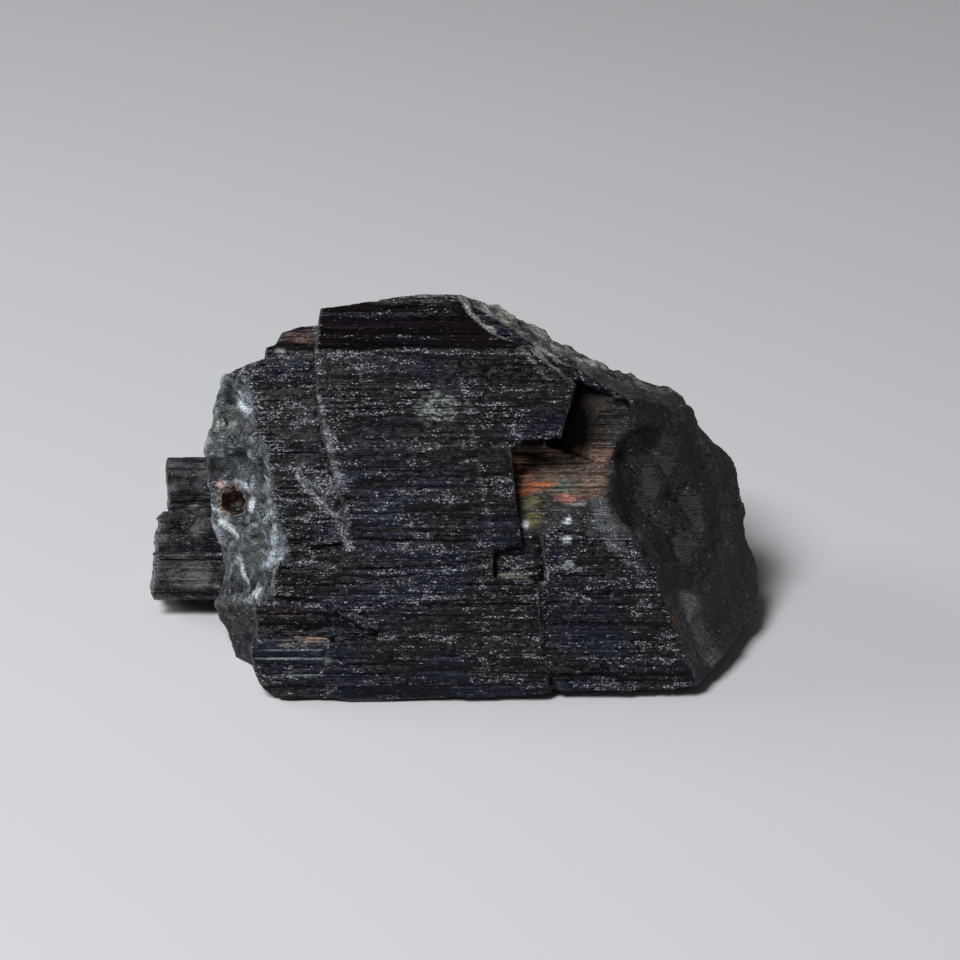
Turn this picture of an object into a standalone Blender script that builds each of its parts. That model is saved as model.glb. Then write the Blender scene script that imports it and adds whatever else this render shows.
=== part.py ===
"""A rough black tourmaline (schorl) crystal, broken out of its vein and lying on a broken side.

The crystal is shaped in its own frame, in millimetres: X runs along the crystal, Y runs into it from the
big striated prism face, and Z runs up that face. It is then leaned back to the way it rests, cut where it
touches the ground, and set with the middle of its underside at the origin.
"""

import math
import random

import bmesh
import bpy
from mathutils import Matrix, Vector, noise

MM = 0.001
CRYSTAL = "tourmaline_crystal"

# Driving dimensions, in millimetres and degrees
LEAN = 25.0  # the big prism face leans back this far from upright
FACE_TOP = 39.0  # height of the big face's top edge above its foot
FOOT_ROUND = 6.0  # height over which the foot of the big face curves under
FOOT_UNDERCUT = 0.8  # how far the foot curves back
RIDGE = (6.6, 45.6)  # depth and height of the ridge above the top facet
PLATE_DEPTH = 8.0  # plates reach this deep, into the body behind them
UNDERLAY = 1.6  # depth of the layer that shows in the cracks between plates
BODY_FRONT = 5.2  # depth at which the body behind the plates starts
GROUND = -0.8  # the ground, as a height on the big face
BODY_SPAN = (-45.0, 45.0)  # long enough to pass through every piece

# The body's three outlines: from the front (x, z), from the end (y, z) and from above (x, y)
BODY_FRONT_OUTLINE = [
    (-26.0, -4.0), (-28.2, 4.0), (-30.4, 10.5), (-29.6, 14.5), (-30.6, 20.0), (-31.6, 24.5),
    (-31.7, 28.0), (-30.9, 31.0), (-30.7, 34.0), (-29.0, 36.6), (-27.0, 37.6), (-24.5, 38.2),
    (-18.5, 40.0), (-17.6, 43.4), (-11.0, 45.0), (-6.5, 46.0), (-2.0, 45.8), (0.5, 44.8),
    (3.2, 44.0), (6.6, 42.6), (9.3, 40.7), (12.2, 39.1), (14.8, 37.6), (18.5, 36.4),
    (21.4, 35.7), (23.8, 34.3), (25.2, 32.8), (25.8, 31.0), (27.4, 29.2), (29.0, 28.0),
    (30.4, 25.6), (31.0, 22.5), (31.3, 19.0), (32.3, 15.5), (32.7, 12.0), (32.0, 9.4), (30.8, 7.6),
    (28.6, 5.4), (26.4, 3.2), (24.6, 1.0), (23.6, -4.0),
]
BODY_END_OUTLINE = [
    (BODY_FRONT, -4.0), (BODY_FRONT, 38.0), (8.0, 44.4), (11.5, 46.0), (17.0, 44.6), (24.5, 40.6),
    (30.5, 34.6), (35.4, 26.0), (36.6, 19.0), (34.5, 8.0),
]
BODY_TOP_OUTLINE = [
    (-24.0, 2.0), (-28.5, 5.0), (-31.8, 9.0), (-32.0, 15.0), (-30.5, 22.0), (-27.0, 29.5),
    (-21.0, 35.0), (-10.0, 38.5), (4.0, 39.0), (16.0, 37.5), (24.5, 33.5), (29.5, 28.5),
    (32.4, 21.5), (33.2, 15.0), (31.5, 10.0), (27.5, 5.5), (23.0, 2.0),
]

# Plates that stand on the big face, as outlines (x, z)
UNDERLAY_OUTLINE = [
    (-24.6, 1.2), (-24.4, 9.0), (-23.2, 16.0), (-23.8, 23.0), (-25.4, 30.0), (-26.6, 36.0),
    (-24.0, 37.6), (-18.0, 38.2), (-17.6, 43.0), (-7.0, 44.8), (-3.2, 44.4), (-0.6, 42.0),
    (4.6, 38.6), (9.4, 34.8), (9.0, 32.0), (8.3, 29.4), (21.0, 28.6), (22.6, 20.0), (21.9, 8.8),
    (23.2, 4.4), (22.9, 1.6),
]
MAIN_OUTLINE = [
    (-18.6, 39.2), (-18.2, 44.2), (-11.2, 45.2), (-6.9, 46.2), (-2.6, 45.9), (-1.0, 43.4),
    (1.6, 41.0), (5.8, 39.4), (8.9, 36.7), (10.7, 35.2), (9.9, 32.4), (9.1, 29.2), (4.6, 28.8),
    (3.5, 28.3), (3.8, 24.8), (4.3, 20.4), (4.7, 17.3), (1.6, 16.9), (1.5, 13.6), (6.6, 13.2),
    (6.8, 8.0), (7.9, 0.6), (6.0, 0.4), (-3.4, 0.2), (-10.0, -0.1), (-14.6, -0.2), (-17.0, 0.2),
    (-17.3, 6.6), (-9.0, 7.1), (-12.6, 7.8), (-18.6, 11.4), (-23.6, 11.6), (-22.9, 15.0),
    (-15.4, 17.0), (-15.0, 19.8), (-16.6, 25.6), (-18.1, 31.0),
]
LEFT_OUTLINE = [
    (-27.2, 36.4), (-26.6, 37.6), (-23.4, 38.5), (-16.0, 39.1), (-13.0, 39.0), (-13.0, 18.0),
    (-17.8, 17.3), (-22.6, 16.0), (-22.3, 19.0), (-23.0, 22.5), (-24.4, 28.0), (-25.9, 31.6),
]
SCALE_OUTLINE = [
    (-20.6, 25.8), (-18.9, 27.2), (-14.0, 27.6), (-13.0, 20.0), (-15.2, 19.4), (-16.6, 21.6),
]
END_OUTLINE = [
    (-24.0, 9.0), (-28.4, 11.0), (-29.2, 16.0), (-30.2, 23.0), (-30.4, 30.0), (-29.4, 35.0),
    (-27.2, 36.6), (-20.0, 36.8), (-20.0, 9.0),
]
TOE_OUTLINE = [(-25.4, 10.9), (-17.6, 11.0), (-8.0, 7.4), (-8.0, 4.0), (-25.0, 4.0)]
FOOT_OUTLINE = [
    (-25.2, 7.4), (-25.8, 5.6), (-25.5, 3.6), (-24.8, 1.8), (-23.8, 0.6), (-22.2, 0.1), (-14.0, 0.2),
    (-14.0, 6.2), (-17.6, 7.0),
]
RIGHT_OUTLINE = [
    (6.9, 18.6), (7.2, 13.0), (7.15, 8.0), (8.2, 1.4), (8.6, 0.8), (14.0, 0.9), (19.0, 1.0),
    (24.2, 1.2), (26.4, 3.2), (28.0, 4.8), (27.0, 16.0), (22.0, 22.0), (17.6, 21.6), (13.0, 21.2),
    (9.2, 21.0),
]
STEP_OUTLINE = [
    (-24.8, 37.0), (-24.4, 39.9), (-23.3, 40.1), (-22.7, 41.6), (-20.6, 42.2), (-16.0, 42.6),
    (-16.0, 36.0),
]

# Where the upper right of the big face has broken out: a ledge that slopes down towards the front, by its
# end outline (y, z), and above it a pocket that gets shallower to the right, by its outline from above
LEDGE_OUTLINE = [
    (-6.0, 35.2), (4.0, 34.6), (6.4, 33.4), (7.2, 30.5), (6.3, 27.9), (5.2, 26.9), (4.8, 25.7),
    (3.7, 25.2), (2.7, 23.4), (1.9, 21.5), (1.0, 20.2), (-6.0, 19.4),
]
LEDGE_SPAN = (2.4, 24.0)
LEDGE_END = 17.6  # where the ledge breaks off at the right
POCKET_OUTLINE = [
    (3.4, -6.0), (3.4, 7.5), (6.5, 11.5), (9.6, 11.6), (12.2, 8.6), (14.9, 6.6), (17.2, 4.0),
    (19.4, 2.6), (21.0, -6.0),
]
POCKET_SPAN = (28.2, 36.2)
POCKET_PIVOT = (10.0, 0.0, 36.2)  # the pocket's top slopes down to the right from here
POCKET_DIP = 20.0

# Broken surfaces: a point on each, its outward normal, its width, and how uneven it is
BREAKS = {
    "right_end": ((23.5, 0.5, 3.0), (0.752, -0.608, 0.252), 76.0, 1.0),
    "right_shoulder": ((24.6, 12.0, 33.4), (0.62, -0.35, 0.7), 60.0, 0.9),
    "right_back": ((30.6, 20.0, 15.0), (0.86, 0.5, 0.12), 64.0, 2.0),
    "left_end": ((-22.6, 1.9, 18.0), (-0.69, -0.7, -0.15), 70.0, 1.0),
    "left_back": ((-29.6, 19.0, 22.0), (-0.9, 0.42, 0.12), 64.0, 2.0),
    "top_slope": ((8.9, 0.2, 37.0), (0.458, -0.262, 0.849), 70.0, 0.9),
    "below_ledge": ((14.5, 1.6, 20.6), (0.05, -0.92, 0.38), 22.0, 0.7),
}
BREAK_CELL = 2.0  # size of the facets on a broken surface
BREAK_BLOCK = 30.0  # how much stone a broken surface takes away above itself

# Rounded hollows where stone has broken out, and pits: the centre and the radii of each
HOLLOWS = {
    "right_hollow": ((24.5, 0.5, 24.8), (11.0, 10.6, 10.2)),
    "upper_shell": ((-31.7, 2.8, 32.2), (6.0, 6.0, 5.8)),
    "middle_shell": ((-30.8, 3.0, 22.8), (7.0, 7.0, 6.4)),
    "lower_shell": ((-30.0, 2.5, 13.6), (5.6, 5.6, 6.2)),
}
PITS = {
    "end_pit": ((-28.4, 9.8, 22.3), (1.7, 1.9, 1.9)),
    "side_pit": ((-35.0, 17.0, 20.2), (1.9, 1.6, 1.3)),
}

# Prisms grown together along the crystal's top and back, side by side along the body's end outline
BACK_PATH = BODY_END_OUTLINE[2:]
PRISM_WIDTH = (3.2, 7.0)  # least and most width of a prism
PRISM_PROUD = (0.5, 2.4)  # least and most that a prism stands out
PRISM_LEFT = (-30.0, -12.0)  # where prisms end at the left
PRISM_RIGHT = (2.0, 27.0)  # where they end at the right

# The small crystal at the left: section (y, z) of each of its columns, and where its tip is broken off
SIDE_COLUMNS = [
    ([(17.6, 23.2), (18.0, 26.6), (20.6, 27.4), (25.6, 27.0), (28.6, 24.0), (19.0, 21.0)], -37.4),
    ([(19.2, 19.0), (19.4, 24.0), (28.0, 24.0), (28.9, 19.0)], -36.0),
    ([(17.2, 15.4), (17.0, 20.3), (19.5, 20.9), (28.8, 20.6), (29.6, 16.0)], -38.6),
    ([(18.2, 10.4), (17.4, 12.8), (17.7, 15.9), (29.4, 16.4), (28.6, 12.0)], -38.9),
]
SIDE_COLUMN_ROOT = -24.0  # the first column reaches this far into the body, and each next one a bit further

UNDERSIDE = (-2.0, 24.0)  # middle (x, y) of the broken underside, on the ground
GROUND_SQUARE = [(-60, -30), (60, -30), (60, 80), (-60, 80)]  # outline (x, y) of what is cut off below it


def clear_scene():
    for obj in list(bpy.data.objects):
        bpy.data.objects.remove(obj)


def new_collection(name):
    made = bpy.data.collections.new(name)
    bpy.context.scene.collection.children.link(made)
    return made


def new_object(name, mesh, collection):
    made = bpy.data.objects.new(name, mesh)
    collection.objects.link(made)
    return made


def closed_mesh(mesh):
    """Welds a mesh's loose caps and turns its faces outwards."""
    bm = bmesh.new()
    bm.from_mesh(mesh)
    bmesh.ops.remove_doubles(bm, verts=bm.verts, dist=1e-7)
    bmesh.ops.recalc_face_normals(bm, faces=bm.faces)
    bm.to_mesh(mesh)
    bm.free()
    return mesh


# How a flat outline's own axes (across, up, thickness) lie in the crystal: by the axis that it faces
FACING = {
    "y": Matrix(((1, 0, 0, 0), (0, 0, 1, 0), (0, 1, 0, 0), (0, 0, 0, 1))),
    "x": Matrix(((0, 0, 1, 0), (1, 0, 0, 0), (0, 1, 0, 0), (0, 0, 0, 1))),
    "z": Matrix.Identity(4),
}


def outline_solid(name, outline, span, facing, work):
    """A closed outline made thick over span, along the axis that it faces. All in millimetres."""
    curve = bpy.data.curves.new(name, "CURVE")
    curve.dimensions = "2D"
    curve.fill_mode = "BOTH"
    curve.extrude = (span[1] - span[0]) / 2 * MM
    spline = curve.splines.new("POLY")
    spline.points.add(len(outline) - 1)
    for point, (across, up) in zip(spline.points, outline):
        point.co = (across * MM, up * MM, 0.0, 1.0)
    spline.use_cyclic_u = True
    guide = new_object(name, curve, work)
    graph = bpy.context.evaluated_depsgraph_get()
    mesh = bpy.data.meshes.new_from_object(guide.evaluated_get(graph))
    bpy.data.objects.remove(guide)
    mesh.transform(FACING[facing] @ Matrix.Translation((0, 0, sum(span) / 2 * MM)))
    return new_object(name, closed_mesh(mesh), work)


def piece_with(face):
    """All faces joined to this one."""
    found = {face}
    waiting = [face]
    while waiting:
        for edge in waiting.pop().edges:
            fresh = [other for other in edge.link_faces if other not in found]
            found.update(fresh)
            waiting += fresh
    return found


def welded(mesh):
    """Closes up the slivers that a Boolean can leave, and drops the chips that it has cut loose."""
    bm = bmesh.new()
    bm.from_mesh(mesh)
    bmesh.ops.triangulate(bm, faces=bm.faces)
    bmesh.ops.dissolve_degenerate(bm, dist=2e-6, edges=bm.edges)
    bmesh.ops.remove_doubles(bm, verts=bm.verts, dist=2e-6)
    left = set(bm.faces)
    biggest = set()
    while left:
        piece = piece_with(next(iter(left)))
        left -= piece
        biggest = max(biggest, piece, key=len)
    bmesh.ops.delete(bm, geom=[face for face in bm.faces if face not in biggest], context="FACES")
    bm.to_mesh(mesh)
    bm.free()
    return mesh


def combine(target, tool, operation):
    """Joins tool to target, cuts it away or keeps what they share, and removes tool."""
    modifier = target.modifiers.new(operation, "BOOLEAN")
    modifier.operation = operation
    modifier.object = tool
    graph = bpy.context.evaluated_depsgraph_get()
    mesh = bpy.data.meshes.new_from_object(target.evaluated_get(graph))
    target.modifiers.clear()
    target.data = welded(mesh)
    bpy.data.objects.remove(tool)
    return target


def rib_steps(start, end, pitch, depth, draw):
    """Ribs along a straight stretch of profile: points (along, out), where along runs from start to end."""
    points = []
    along = start
    while along < end - pitch * 0.5:
        width = min(pitch * draw.uniform(0.45, 1.7), end - along)
        out = depth * draw.uniform(-1.0, 1.0)
        points += [(along + 0.12, out), (along + width - 0.12, out + draw.uniform(-0.3, 0.3) * depth)]
        along += width
    return points


def face_profile(level, seed, rib_depth=0.22):
    """The crystal's end profile (y, z) at the big face and top facet, ribbed, at a depth of level."""
    draw = random.Random(seed)
    outline = []
    for z, out in rib_steps(-2.0, FACE_TOP, 1.7, rib_depth, draw):
        curl = FOOT_UNDERCUT * (max(0.0, FOOT_ROUND - z) / FOOT_ROUND) ** 2
        outline.append((level + curl - out, z))
    run, rise = RIDGE[0], RIDGE[1] - FACE_TOP
    length = math.hypot(run, rise)
    for along, out in rib_steps(0.4, length, 2.4, rib_depth, draw):
        share = along / length
        y = level + run * share - out * rise / length
        outline.append((y, FACE_TOP + rise * share + out * run / length))
    top = RIDGE[1] + 0.6
    outline += [(level + RIDGE[0] + 2.5, top), (level + 14.0, top), (level + 14.0, -2.0)]
    return outline


def plate(name, outline, level, seed, work, turn=0.0, depth=PLATE_DEPTH, rib_depth=0.22):
    """A plate of the big face: its outline from the front, with a ribbed face at a depth of level."""
    made = outline_solid(name, outline, (-4.0, depth), "y", work)
    ribbed = outline_solid(name + "_ribs", face_profile(level, seed, rib_depth), BODY_SPAN, "x", work)
    pivot = Matrix.Translation((outline[0][0] * MM, 0, 0))
    ribbed.data.transform(pivot @ Matrix.Rotation(math.radians(turn), 4, "Z") @ pivot.inverted())
    return combine(made, ribbed, "INTERSECT")


def unevenness(x, y, seed):
    """How far a broken surface strays from flat at a point, from about -1 to 1: swells and sharp ridges."""
    place = Vector((x, y, seed * 17.3))
    swell = noise.noise(place / 13.0)
    ridges = 0.5 - abs(noise.noise(place / 8.0 + Vector((40.0, 0.0, 0.0)))) * 2.0
    rough = noise.noise(place / 3.2)
    return 0.75 * swell + 0.5 * ridges + 0.35 * rough


def break_cutter(name, point, normal, width, height, seed, work, cell=BREAK_CELL):
    """A block whose underside is an uneven break, with normal pointing out of the stone that stays."""
    bm = bmesh.new()
    cells = max(4, round(width / cell))
    bmesh.ops.create_grid(bm, x_segments=cells, y_segments=cells, size=width / 2)
    draw = random.Random(seed)
    for vert in bm.verts:
        if not vert.is_boundary:
            vert.co.x += cell * draw.uniform(-0.3, 0.3)
            vert.co.y += cell * draw.uniform(-0.3, 0.3)
        vert.co.z = height * unevenness(vert.co.x, vert.co.y, seed)
    rim = [edge for edge in bm.edges if edge.is_boundary]
    walls = bmesh.ops.extrude_edge_only(bm, edges=rim)["geom"]
    for item in walls:
        if isinstance(item, bmesh.types.BMVert):
            item.co.z = BREAK_BLOCK
    bmesh.ops.holes_fill(bm, edges=[edge for edge in bm.edges if edge.is_boundary])
    mesh = bpy.data.meshes.new(name)
    bm.to_mesh(mesh)
    bm.free()
    out = Vector(normal).normalized()
    place = Matrix.Translation(Vector(point)) @ out.to_track_quat("Z", "Y").to_matrix().to_4x4()
    mesh.transform(Matrix.Scale(MM, 4) @ place)
    return new_object(name, closed_mesh(mesh), work)


def break_end(made, tip, seed, tilt, work):
    """Breaks an X-wise piece off at tip, which is towards the nearer end of the crystal."""
    draw = random.Random(seed)
    points = [vert.co / MM for vert in made.data.vertices]
    middle = sum(points, Vector()) / len(points)
    side = math.copysign(1.0, tip - middle.x)
    normal = (side, draw.uniform(-tilt, tilt), draw.uniform(-tilt, tilt))
    cutter = break_cutter("end_break", (tip, middle.y, middle.z), normal, 34.0, 1.0, seed, work, 1.9)
    return combine(made, cutter, "DIFFERENCE")


def along_path(path, reach):
    """The point at a distance along a path of straight stretches."""
    for start, end in zip(path, path[1:]):
        length = math.dist(start, end)
        if reach <= length:
            return Vector(start).lerp(Vector(end), reach / length)
        reach -= length
    return Vector(path[-1])


def back_prisms(work):
    """Ribbed prisms of unlike lengths, side by side along the crystal's top and back, with broken ends."""
    draw = random.Random(20)
    total = sum(math.dist(start, end) for start, end in zip(BACK_PATH, BACK_PATH[1:]))
    prisms = []
    reach = 0.0
    while reach < total - PRISM_WIDTH[0]:
        width = draw.uniform(*PRISM_WIDTH)
        low = along_path(BACK_PATH, reach - 0.3)
        high = along_path(BACK_PATH, reach + width)
        along = (high - low).normalized()
        out = Vector((-along.y, along.x))
        proud = draw.uniform(*PRISM_PROUD)
        ribs = rib_steps(0.3, (high - low).length - 0.3, 1.6, 0.2, draw)
        outline = [low + out * (proud + step) + along * way for way, step in ribs]
        outline = [tuple(point) for point in (low - out * 5.0, *outline, high - out * 5.0)]
        left = draw.uniform(*PRISM_LEFT)
        right = draw.uniform(*PRISM_RIGHT)
        prism = outline_solid(f"prism_{len(prisms)}", outline, (left - 5.0, right + 5.0), "x", work)
        break_end(prism, left, 60 + len(prisms), 0.35, work)
        prisms.append(break_end(prism, right, 90 + len(prisms), 0.35, work))
        reach += width
    return prisms


def body(work):
    """The body of the crystal behind its big face, with the prisms grown on its back."""
    made = outline_solid("body", BODY_END_OUTLINE, BODY_SPAN, "x", work)
    for prism in back_prisms(work):
        combine(made, prism, "UNION")
    front = outline_solid("body_front", BODY_FRONT_OUTLINE, (BODY_FRONT - 3.6, 45.0), "y", work)
    combine(made, front, "INTERSECT")
    combine(made, outline_solid("body_top", BODY_TOP_OUTLINE, (-6.0, 50.0), "z", work), "INTERSECT")
    return made


def broken_plates(work):
    """The plates of the big face that end at a broken surface."""
    return [
        plate("underlay", UNDERLAY_OUTLINE, UNDERLAY, 1, work),
        plate("end", END_OUTLINE, 2.9, 9, work),
        plate("left", LEFT_OUTLINE, 2.6, 3, work, turn=-8.0),
        plate("right", RIGHT_OUTLINE, 0.35, 7, work),
        plate("step", STEP_OUTLINE, 5.0, 8, work, depth=14.0),
    ]


def whole_plates(work):
    """The plates of the big face that stand on the others."""
    return [
        plate("main", MAIN_OUTLINE, 0.0, 2, work),
        plate("scale", SCALE_OUTLINE, 0.9, 4, work, depth=7.1),
        plate("toe", TOE_OUTLINE, 0.95, 5, work, depth=7.3, rib_depth=0.1),
        plate("foot", FOOT_OUTLINE, 0.15, 6, work, depth=7.0, rib_depth=0.3),
    ]


def side_crystal(work):
    """The columns of the small crystal that has grown beside the big one."""
    columns = []
    for number, (section, tip) in enumerate(SIDE_COLUMNS):
        span = (tip - 5.0, SIDE_COLUMN_ROOT + 0.7 * number)
        column = outline_solid(f"side_column_{number}", section, span, "x", work)
        columns.append(break_end(column, tip, 9 + number, 0.22, work))
    return columns


def hollow(name, centre, radii, seed, work, detail=2):
    """A rounded cutter with flat facets."""
    bm = bmesh.new()
    bmesh.ops.create_icosphere(bm, subdivisions=detail, radius=1.0)
    for vert in bm.verts:
        shift = Vector((seed, 0.0, 0.0))
        bulge = 1.0 + 0.18 * noise.noise(vert.co * 1.7 + shift)
        bulge += 0.1 * noise.noise(vert.co * 4.0 + shift)
        vert.co = Vector([co * radius * bulge for co, radius in zip(vert.co, radii)])
    mesh = bpy.data.meshes.new(name)
    bm.to_mesh(mesh)
    bm.free()
    mesh.transform(Matrix.Scale(MM, 4) @ Matrix.Translation(centre))
    return new_object(name, closed_mesh(mesh), work)


def recess(work):
    """Cutters for the ledge with its uneven end, and for the pocket that dips to the right above it."""
    ledge = outline_solid("ledge", LEDGE_OUTLINE, LEDGE_SPAN, "x", work)
    pocket = outline_solid("pocket", POCKET_OUTLINE, POCKET_SPAN, "z", work)
    pivot = Matrix.Translation(Vector(POCKET_PIVOT) * MM)
    pocket.data.transform(pivot @ Matrix.Rotation(math.radians(POCKET_DIP), 4, "Y") @ pivot.inverted())
    return [break_end(ledge, LEDGE_END, 43, 0.5, work), pocket]


def lean_and_rest(stone, work):
    """Leans the crystal back as it rests, and cuts its underside to an uneven break on the ground."""
    lean = Matrix.Rotation(math.radians(-LEAN), 4, "X")
    lift = -GROUND * math.cos(math.radians(LEAN)) * MM
    stone.data.transform(Matrix.Translation((0, 0, lift)) @ lean)
    under = (*UNDERSIDE, 0.0)
    combine(stone, break_cutter("underside", under, (0, 0, -1), 90.0, 1.1, 31, work, 3.0), "DIFFERENCE")
    combine(stone, outline_solid("ground", GROUND_SQUARE, (-30.0, 0.0), "z", work), "DIFFERENCE")


def centre_on_origin(stone):
    """Puts the middle of the underside's box at the origin."""
    corners = [Vector(corner) for corner in stone.bound_box]
    low = [min(corner[axis] for corner in corners) for axis in range(3)]
    high = [max(corner[axis] for corner in corners) for axis in range(3)]
    middle = Vector(((low[0] + high[0]) / 2, (low[1] + high[1]) / 2, low[2]))
    stone.data.transform(Matrix.Translation(-middle))


def stone_material():
    """Black, between glassy and dull."""
    made = bpy.data.materials.new("schorl_black")
    made.use_nodes = True
    shader = made.node_tree.nodes["Principled BSDF"]
    shader.inputs["Base Color"].default_value = (0.022, 0.022, 0.026, 1.0)
    shader.inputs["Roughness"].default_value = 0.42
    shader.inputs["Metallic"].default_value = 0.0
    made.diffuse_color = (0.022, 0.022, 0.026, 1.0)
    return made


def main():
    clear_scene()
    work = new_collection("construction")
    finished = new_collection(CRYSTAL)
    stone = body(work)
    for piece in broken_plates(work):
        combine(stone, piece, "UNION")
    for number, (name, (point, normal, width, height)) in enumerate(BREAKS.items()):
        combine(stone, break_cutter(name, point, normal, width, height, number, work), "DIFFERENCE")
    for number, (name, (centre, radii)) in enumerate(HOLLOWS.items()):
        combine(stone, hollow(name, centre, radii, 3.0 + number, work, detail=3), "DIFFERENCE")
    for cutter in recess(work):
        combine(stone, cutter, "DIFFERENCE")
    for piece in side_crystal(work) + whole_plates(work):
        combine(stone, piece, "UNION")
    for number, (name, (centre, radii)) in enumerate(PITS.items()):
        combine(stone, hollow(name, centre, radii, 1.0 + number, work), "DIFFERENCE")
    lean_and_rest(stone, work)
    stone.name = CRYSTAL
    centre_on_origin(stone)
    work.objects.unlink(stone)
    finished.objects.link(stone)
    bpy.data.collections.remove(work)
    stone.data.materials.clear()
    stone.data.materials.append(stone_material())
    stone.data.shade_flat()


main()
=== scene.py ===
"""The looks of a rough black tourmaline (schorl) crystal that lies on its side.

The stone's solid is copied, meshed finely and worked over like a stone: striations run along the whole
crystal, plates end in small steps, and each broken surface has its own grain. Its tones are worked out
point by point from the same shapes, and the material adds what is finer than the mesh.

The crystal is worked in its own frame, in millimetres: X runs along the crystal, Y runs into it from the
big striated face, and Z runs up that face.
"""

import math

import bmesh
import bpy
import numpy as np
from mathutils import Matrix, Vector
from mathutils.bvhtree import BVHTree


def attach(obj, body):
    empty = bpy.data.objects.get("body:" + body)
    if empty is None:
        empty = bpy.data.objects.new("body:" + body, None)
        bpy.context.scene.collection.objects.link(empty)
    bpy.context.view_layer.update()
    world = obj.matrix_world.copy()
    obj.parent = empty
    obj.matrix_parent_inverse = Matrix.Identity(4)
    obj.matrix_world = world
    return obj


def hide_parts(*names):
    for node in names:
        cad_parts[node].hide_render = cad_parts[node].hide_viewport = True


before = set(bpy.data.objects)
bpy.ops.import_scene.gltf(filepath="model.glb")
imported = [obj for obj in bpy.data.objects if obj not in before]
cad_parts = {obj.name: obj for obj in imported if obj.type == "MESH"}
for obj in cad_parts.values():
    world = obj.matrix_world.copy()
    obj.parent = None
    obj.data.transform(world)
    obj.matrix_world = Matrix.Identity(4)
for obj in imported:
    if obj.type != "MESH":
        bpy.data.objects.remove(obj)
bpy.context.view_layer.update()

NODE = "tourmaline_crystal"
MM = 0.001
LEAN = math.radians(25.0)  # how far the crystal leans back as it rests
REST_SHIFT = (3.372, -22.813, 0.725)  # from the crystal's own origin to where it rests, in mm
TO_WORLD = (
    Matrix.Scale(MM, 4) @ Matrix.Translation(REST_SHIFT) @ Matrix.Rotation(-LEAN, 4, "X")
)

VOXEL = 0.32  # size of the even mesh, in mm
BACK_SHARE = 0.16  # share of the faces that stay where the back and underside are
MOST_TRIANGLES = 196_000


# Noise over points in mm


def lattice(cell, seed):
    """An even random value from -1 to 1 for each whole-numbered cell."""
    mixed = cell[..., 0] * 73856093 ^ cell[..., 1] * 19349663 ^ cell[..., 2] * 83492791
    mixed = (mixed ^ (seed * 2654435761)) & 0xFFFFFFFF
    mixed = ((mixed ^ (mixed >> 15)) * 2246822519) & 0xFFFFFFFF
    mixed = ((mixed ^ (mixed >> 13)) * 3266489917) & 0xFFFFFFFF
    return ((mixed ^ (mixed >> 16)) & 0xFFFF) / 32767.5 - 1.0


def noise(points, sizes, seed):
    """Smooth noise from -1 to 1 with features of these sizes along X, Y and Z."""
    scaled = points / np.array(sizes) + 311.7
    low = np.floor(scaled).astype(np.int64)
    part = scaled - low
    part = part * part * (3.0 - 2.0 * part)
    total = 0.0
    for corner in np.ndindex(2, 2, 2):
        share = np.prod(np.where(corner, part, 1.0 - part), axis=1)
        total = total + share * lattice(low + np.array(corner), seed)
    return total


def fractal(points, size, seed, octaves=4, gain=0.5):
    """Noise of several sizes added up, from about -1 to 1."""
    total = np.zeros(len(points))
    weight = 1.0
    scale = 0.0
    for octave in range(octaves):
        turned = points @ TURNS[octave % len(TURNS)]
        total += weight * noise(turned, (size,) * 3, seed + octave)
        scale += weight
        weight *= gain
        size *= 0.5
    return total / scale


def ridged(points, sizes, seed):
    """Noise with sharp crests, from -1 in the hollows to 1 on the crests."""
    return 1.0 - 2.0 * np.abs(noise(points, sizes, seed)) * 1.6


def bowls(points, size, seed):
    """Shallow bowls with sharp ridges between them, from 0 in a bowl to 1 on the highest ridges."""
    scaled = points / size + 97.3
    low = np.floor(scaled).astype(np.int64)
    nearest = np.full(len(points), 9.0)
    for step in np.ndindex(3, 3, 3):
        cell = low + np.array(step) - 1
        middle = np.stack([lattice(cell, seed + axis) for axis in range(3)], axis=1) * 0.5 + 0.5
        nearest = np.minimum(nearest, ((cell + middle - scaled) ** 2).sum(axis=1))
    return np.clip(nearest / 0.8, 0.0, 1.0)


def bars(points, pitch, length, seed):
    """A random value from -1 to 1 for each of the slim bars, side by side along X, that the crystal is made of."""
    across = np.floor(points[:, 1:] / pitch + 0.37).astype(np.int64)
    row = np.concatenate([across, np.full((len(points), 1), seed)], axis=1)
    jagged = 0.12 * length * noise(points, (0.7 * pitch, 0.5 * pitch, 0.5 * pitch), seed + 1)
    along = np.floor((points[:, 0] + jagged) / length + 4.0 * lattice(row, seed)).astype(np.int64)
    return lattice(np.concatenate([along[:, None], across], axis=1), seed + 2)


def ramp(value, start, end):
    """0 before start and 1 after end, smooth between."""
    part = np.clip((value - start) / (end - start), 0.0, 1.0)
    return part * part * (3.0 - 2.0 * part)


def turn(angle_x, angle_z):
    around_x = np.array(Matrix.Rotation(angle_x, 3, "X"))
    return around_x @ np.array(Matrix.Rotation(angle_z, 3, "Z"))


TURNS = [turn(0.4 + 1.3 * step, 0.9 + 0.7 * step) for step in range(4)]


# The mesh


def solid_copy():
    """The stone's solid as a welded mesh object in the crystal's own frame."""
    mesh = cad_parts[NODE].data.copy()
    mesh.transform(TO_WORLD.inverted())
    bm = bmesh.new()
    bm.from_mesh(mesh)
    bmesh.ops.remove_doubles(bm, verts=bm.verts, dist=1e-4)
    bm.to_mesh(mesh)
    bm.free()
    made = bpy.data.objects.new("solid_copy", mesh)
    bpy.context.scene.collection.objects.link(made)
    return made


def applied(obj):
    """Replaces the object's mesh by what its modifiers make of it."""
    graph = bpy.context.evaluated_depsgraph_get()
    mesh = bpy.data.meshes.new_from_object(obj.evaluated_get(graph))
    obj.modifiers.clear()
    obj.data = mesh
    return mesh


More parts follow.
